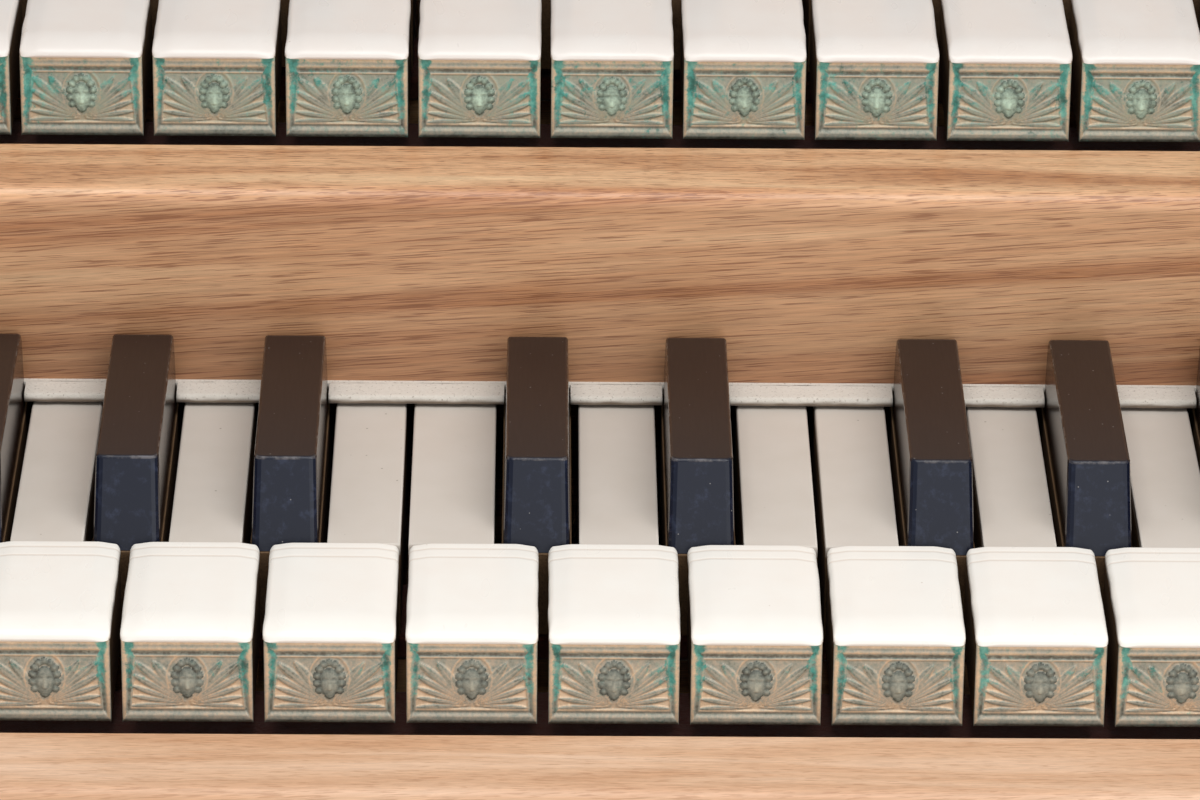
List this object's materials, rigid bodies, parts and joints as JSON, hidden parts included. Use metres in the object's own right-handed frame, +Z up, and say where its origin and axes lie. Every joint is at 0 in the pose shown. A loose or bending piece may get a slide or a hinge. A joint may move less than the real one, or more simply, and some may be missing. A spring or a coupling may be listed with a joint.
{
  "type": "two-manual organ keyboard section",
  "caption": "Section of a two-manual organ keyboard: bone naturals with pressed metal fronts, dark sharps, oak boards and cheeks, each key rocking on its balance rail.",
  "frame": {"origin": "centre of the key bed's underside", "axes": "+Z up, +Y into the organ away from the player, +X to the player's right"},
  "size_m": [0.297, 0.4558, 0.1618],
  "materials": {
    "oak": "waxed oak",
    "pale_oak": "waxed oak, paler and worn",
    "rail_wood": "plain unpolished beech",
    "white_felt": "thick off-white wool felt, dusty",
    "red_felt": "dark red wool felt",
    "pin_brass": "drawn and tarnished",
    "natural_wood": "limewood lever under a polished bone covering, with a pressed bronze front",
    "sharp_wood": "limewood lever under a stained hardwood sharp, waxed and worn"
  },
  "bodies": {
    "frame": {"key_bed": "oak", "cheek_left": "oak", "cheek_right": "oak", "front_slip": "pale_oak", "middle_board": "oak", "top_board": "oak", "lower_dust_felt": "white_felt", "upper_dust_felt": "white_felt", "lower_front_rail": "rail_wood", "lower_balance_rail": "rail_wood", "lower_back_rail": "rail_wood", "lower_rail_felts": "red_felt", "lower_pins": "pin_brass", "upper_front_rail": "rail_wood", "upper_balance_rail": "rail_wood", "upper_back_rail": "rail_wood", "upper_rail_felts": "red_felt", "upper_pins": "pin_brass"},
    "lower_key_f1": {"lower_key_f1": "natural_wood"},
    "lower_key_fs1": {"lower_key_fs1": "sharp_wood"},
    "lower_key_g1": {"lower_key_g1": "natural_wood"},
    "lower_key_gs1": {"lower_key_gs1": "sharp_wood"},
    "lower_key_a1": {"lower_key_a1": "natural_wood"},
    "lower_key_as1": {"lower_key_as1": "sharp_wood"},
    "lower_key_b1": {"lower_key_b1": "natural_wood"},
    "lower_key_c": {"lower_key_c": "natural_wood"},
    "lower_key_cs": {"lower_key_cs": "sharp_wood"},
    "lower_key_d": {"lower_key_d": "natural_wood"},
    "lower_key_ds": {"lower_key_ds": "sharp_wood"},
    "lower_key_e": {"lower_key_e": "natural_wood"},
    "lower_key_f2": {"lower_key_f2": "natural_wood"},
    "lower_key_fs2": {"lower_key_fs2": "sharp_wood"},
    "lower_key_g2": {"lower_key_g2": "natural_wood"},
    "lower_key_gs2": {"lower_key_gs2": "sharp_wood"},
    "lower_key_a2": {"lower_key_a2": "natural_wood"},
    "lower_key_as2": {"lower_key_as2": "sharp_wood"},
    "lower_key_b2": {"lower_key_b2": "natural_wood"},
    "upper_key_f1": {"upper_key_f1": "natural_wood"},
    "upper_key_fs1": {"upper_key_fs1": "sharp_wood"},
    "upper_key_g1": {"upper_key_g1": "natural_wood"},
    "upper_key_gs1": {"upper_key_gs1": "sharp_wood"},
    "upper_key_a1": {"upper_key_a1": "natural_wood"},
    "upper_key_as1": {"upper_key_as1": "sharp_wood"},
    "upper_key_b1": {"upper_key_b1": "natural_wood"},
    "upper_key_c": {"upper_key_c": "natural_wood"},
    "upper_key_cs": {"upper_key_cs": "sharp_wood"},
    "upper_key_d": {"upper_key_d": "natural_wood"},
    "upper_key_ds": {"upper_key_ds": "sharp_wood"},
    "upper_key_e": {"upper_key_e": "natural_wood"},
    "upper_key_f2": {"upper_key_f2": "natural_wood"},
    "upper_key_fs2": {"upper_key_fs2": "sharp_wood"},
    "upper_key_g2": {"upper_key_g2": "natural_wood"},
    "upper_key_gs2": {"upper_key_gs2": "sharp_wood"},
    "upper_key_a2": {"upper_key_a2": "natural_wood"},
    "upper_key_as2": {"upper_key_as2": "sharp_wood"},
    "upper_key_b2": {"upper_key_b2": "natural_wood"}
  },
  "joints": [
    {"name": "lower_key_f1_rock", "type": "hinge", "parent": "frame", "child": "lower_key_f1", "pos_m": [-0.12237, -0.01385, 0.0482], "axis": [1, 0, 0], "range_deg": [0, 3.02], "stiffness_Nm_per_rad": 1, "springref_deg": -5.73},
    {"name": "lower_key_fs1_rock", "type": "hinge", "parent": "frame", "child": "lower_key_fs1", "pos_m": [-0.109, -0.01385, 0.0482], "axis": [1, 0, 0], "range_deg": [0, 3.02], "stiffness_Nm_per_rad": 1, "springref_deg": -5.73},
    {"name": "lower_key_g1_rock", "type": "hinge", "parent": "frame", "child": "lower_key_g1", "pos_m": [-0.09563, -0.01385, 0.0482], "axis": [1, 0, 0], "range_deg": [0, 3.02], "stiffness_Nm_per_rad": 1, "springref_deg": -5.73},
    {"name": "lower_key_gs1_rock", "type": "hinge", "parent": "frame", "child": "lower_key_gs1", "pos_m": [-0.08225, -0.01385, 0.0482], "axis": [1, 0, 0], "range_deg": [0, 3.02], "stiffness_Nm_per_rad": 1, "springref_deg": -5.73},
    {"name": "lower_key_a1_rock", "type": "hinge", "parent": "frame", "child": "lower_key_a1", "pos_m": [-0.06888, -0.01385, 0.0482], "axis": [1, 0, 0], "range_deg": [0, 3.02], "stiffness_Nm_per_rad": 1, "springref_deg": -5.73},
    {"name": "lower_key_as1_rock", "type": "hinge", "parent": "frame", "child": "lower_key_as1", "pos_m": [-0.0555, -0.01385, 0.0482], "axis": [1, 0, 0], "range_deg": [0, 3.02], "stiffness_Nm_per_rad": 1, "springref_deg": -5.73},
    {"name": "lower_key_b1_rock", "type": "hinge", "parent": "frame", "child": "lower_key_b1", "pos_m": [-0.04213, -0.01385, 0.0482], "axis": [1, 0, 0], "range_deg": [0, 3.02], "stiffness_Nm_per_rad": 1, "springref_deg": -5.73},
    {"name": "lower_key_c_rock", "type": "hinge", "parent": "frame", "child": "lower_key_c", "pos_m": [-0.02733, -0.01385, 0.0482], "axis": [1, 0, 0], "range_deg": [0, 3.02], "stiffness_Nm_per_rad": 1, "springref_deg": -5.73},
    {"name": "lower_key_cs_rock", "type": "hinge", "parent": "frame", "child": "lower_key_cs", "pos_m": [-0.01292, -0.01385, 0.0482], "axis": [1, 0, 0], "range_deg": [0, 3.02], "stiffness_Nm_per_rad": 1, "springref_deg": -5.73},
    {"name": "lower_key_d_rock", "type": "hinge", "parent": "frame", "child": "lower_key_d", "pos_m": [0.001, -0.01385, 0.0482], "axis": [1, 0, 0], "range_deg": [0, 3.02], "stiffness_Nm_per_rad": 1, "springref_deg": -5.73},
    {"name": "lower_key_ds_rock", "type": "hinge", "parent": "frame", "child": "lower_key_ds", "pos_m": [0.01492, -0.01385, 0.0482], "axis": [1, 0, 0], "range_deg": [0, 3.02], "stiffness_Nm_per_rad": 1, "springref_deg": -5.73},
    {"name": "lower_key_e_rock", "type": "hinge", "parent": "frame", "child": "lower_key_e", "pos_m": [0.02833, -0.01385, 0.0482], "axis": [1, 0, 0], "range_deg": [0, 3.02], "stiffness_Nm_per_rad": 1, "springref_deg": -5.73},
    {"name": "lower_key_f2_rock", "type": "hinge", "parent": "frame", "child": "lower_key_f2", "pos_m": [0.04213, -0.01385, 0.0482], "axis": [1, 0, 0], "range_deg": [0, 3.02], "stiffness_Nm_per_rad": 1, "springref_deg": -5.73},
    {"name": "lower_key_fs2_rock", "type": "hinge", "parent": "frame", "child": "lower_key_fs2", "pos_m": [0.0555, -0.01385, 0.0482], "axis": [1, 0, 0], "range_deg": [0, 3.02], "stiffness_Nm_per_rad": 1, "springref_deg": -5.73},
    {"name": "lower_key_g2_rock", "type": "hinge", "parent": "frame", "child": "lower_key_g2", "pos_m": [0.06888, -0.01385, 0.0482], "axis": [1, 0, 0], "range_deg": [0, 3.02], "stiffness_Nm_per_rad": 1, "springref_deg": -5.73},
    {"name": "lower_key_gs2_rock", "type": "hinge", "parent": "frame", "child": "lower_key_gs2", "pos_m": [0.08225, -0.01385, 0.0482], "axis": [1, 0, 0], "range_deg": [0, 3.02], "stiffness_Nm_per_rad": 1, "springref_deg": -5.73},
    {"name": "lower_key_a2_rock", "type": "hinge", "parent": "frame", "child": "lower_key_a2", "pos_m": [0.09563, -0.01385, 0.0482], "axis": [1, 0, 0], "range_deg": [0, 3.02], "stiffness_Nm_per_rad": 1, "springref_deg": -5.73},
    {"name": "lower_key_as2_rock", "type": "hinge", "parent": "frame", "child": "lower_key_as2", "pos_m": [0.109, -0.01385, 0.0482], "axis": [1, 0, 0], "range_deg": [0, 3.02], "stiffness_Nm_per_rad": 1, "springref_deg": -5.73},
    {"name": "lower_key_b2_rock", "type": "hinge", "parent": "frame", "child": "lower_key_b2", "pos_m": [0.12237, -0.01385, 0.0482], "axis": [1, 0, 0], "range_deg": [0, 3.02], "stiffness_Nm_per_rad": 1, "springref_deg": -5.73},
    {"name": "upper_key_f1_rock", "type": "hinge", "parent": "frame", "child": "upper_key_f1", "pos_m": [-0.12237, 0.10185, 0.1038], "axis": [1, 0, 0], "range_deg": [0, 3.02], "stiffness_Nm_per_rad": 1, "springref_deg": -5.73},
    {"name": "upper_key_fs1_rock", "type": "hinge", "parent": "frame", "child": "upper_key_fs1", "pos_m": [-0.109, 0.10185, 0.1038], "axis": [1, 0, 0], "range_deg": [0, 3.02], "stiffness_Nm_per_rad": 1, "springref_deg": -5.73},
    {"name": "upper_key_g1_rock", "type": "hinge", "parent": "frame", "child": "upper_key_g1", "pos_m": [-0.09563, 0.10185, 0.1038], "axis": [1, 0, 0], "range_deg": [0, 3.02], "stiffness_Nm_per_rad": 1, "springref_deg": -5.73},
    {"name": "upper_key_gs1_rock", "type": "hinge", "parent": "frame", "child": "upper_key_gs1", "pos_m": [-0.08225, 0.10185, 0.1038], "axis": [1, 0, 0], "range_deg": [0, 3.02], "stiffness_Nm_per_rad": 1, "springref_deg": -5.73},
    {"name": "upper_key_a1_rock", "type": "hinge", "parent": "frame", "child": "upper_key_a1", "pos_m": [-0.06888, 0.10185, 0.1038], "axis": [1, 0, 0], "range_deg": [0, 3.02], "stiffness_Nm_per_rad": 1, "springref_deg": -5.73},
    {"name": "upper_key_as1_rock", "type": "hinge", "parent": "frame", "child": "upper_key_as1", "pos_m": [-0.0555, 0.10185, 0.1038], "axis": [1, 0, 0], "range_deg": [0, 3.02], "stiffness_Nm_per_rad": 1, "springref_deg": -5.73},
    {"name": "upper_key_b1_rock", "type": "hinge", "parent": "frame", "child": "upper_key_b1", "pos_m": [-0.04213, 0.10185, 0.1038], "axis": [1, 0, 0], "range_deg": [0, 3.02], "stiffness_Nm_per_rad": 1, "springref_deg": -5.73},
    {"name": "upper_key_c_rock", "type": "hinge", "parent": "frame", "child": "upper_key_c", "pos_m": [-0.02733, 0.10185, 0.1038], "axis": [1, 0, 0], "range_deg": [0, 3.02], "stiffness_Nm_per_rad": 1, "springref_deg": -5.73},
    {"name": "upper_key_cs_rock", "type": "hinge", "parent": "frame", "child": "upper_key_cs", "pos_m": [-0.01292, 0.10185, 0.1038], "axis": [1, 0, 0], "range_deg": [0, 3.02], "stiffness_Nm_per_rad": 1, "springref_deg": -5.73},
    {"name": "upper_key_d_rock", "type": "hinge", "parent": "frame", "child": "upper_key_d", "pos_m": [0.001, 0.10185, 0.1038], "axis": [1, 0, 0], "range_deg": [0, 3.02], "stiffness_Nm_per_rad": 1, "springref_deg": -5.73},
    {"name": "upper_key_ds_rock", "type": "hinge", "parent": "frame", "child": "upper_key_ds", "pos_m": [0.01492, 0.10185, 0.1038], "axis": [1, 0, 0], "range_deg": [0, 3.02], "stiffness_Nm_per_rad": 1, "springref_deg": -5.73},
    {"name": "upper_key_e_rock", "type": "hinge", "parent": "frame", "child": "upper_key_e", "pos_m": [0.02833, 0.10185, 0.1038], "axis": [1, 0, 0], "range_deg": [0, 3.02], "stiffness_Nm_per_rad": 1, "springref_deg": -5.73},
    {"name": "upper_key_f2_rock", "type": "hinge", "parent": "frame", "child": "upper_key_f2", "pos_m": [0.04213, 0.10185, 0.1038], "axis": [1, 0, 0], "range_deg": [0, 3.02], "stiffness_Nm_per_rad": 1, "springref_deg": -5.73},
    {"name": "upper_key_fs2_rock", "type": "hinge", "parent": "frame", "child": "upper_key_fs2", "pos_m": [0.0555, 0.10185, 0.1038], "axis": [1, 0, 0], "range_deg": [0, 3.02], "stiffness_Nm_per_rad": 1, "springref_deg": -5.73},
    {"name": "upper_key_g2_rock", "type": "hinge", "parent": "frame", "child": "upper_key_g2", "pos_m": [0.06888, 0.10185, 0.1038], "axis": [1, 0, 0], "range_deg": [0, 3.02], "stiffness_Nm_per_rad": 1, "springref_deg": -5.73},
    {"name": "upper_key_gs2_rock", "type": "hinge", "parent": "frame", "child": "upper_key_gs2", "pos_m": [0.08225, 0.10185, 0.1038], "axis": [1, 0, 0], "range_deg": [0, 3.02], "stiffness_Nm_per_rad": 1, "springref_deg": -5.73},
    {"name": "upper_key_a2_rock", "type": "hinge", "parent": "frame", "child": "upper_key_a2", "pos_m": [0.09563, 0.10185, 0.1038], "axis": [1, 0, 0], "range_deg": [0, 3.02], "stiffness_Nm_per_rad": 1, "springref_deg": -5.73},
    {"name": "upper_key_as2_rock", "type": "hinge", "parent": "frame", "child": "upper_key_as2", "pos_m": [0.109, 0.10185, 0.1038], "axis": [1, 0, 0], "range_deg": [0, 3.02], "stiffness_Nm_per_rad": 1, "springref_deg": -5.73},
    {"name": "upper_key_b2_rock", "type": "hinge", "parent": "frame", "child": "upper_key_b2", "pos_m": [0.12237, 0.10185, 0.1038], "axis": [1, 0, 0], "range_deg": [0, 3.02], "stiffness_Nm_per_rad": 1, "springref_deg": -5.73}
  ]
}
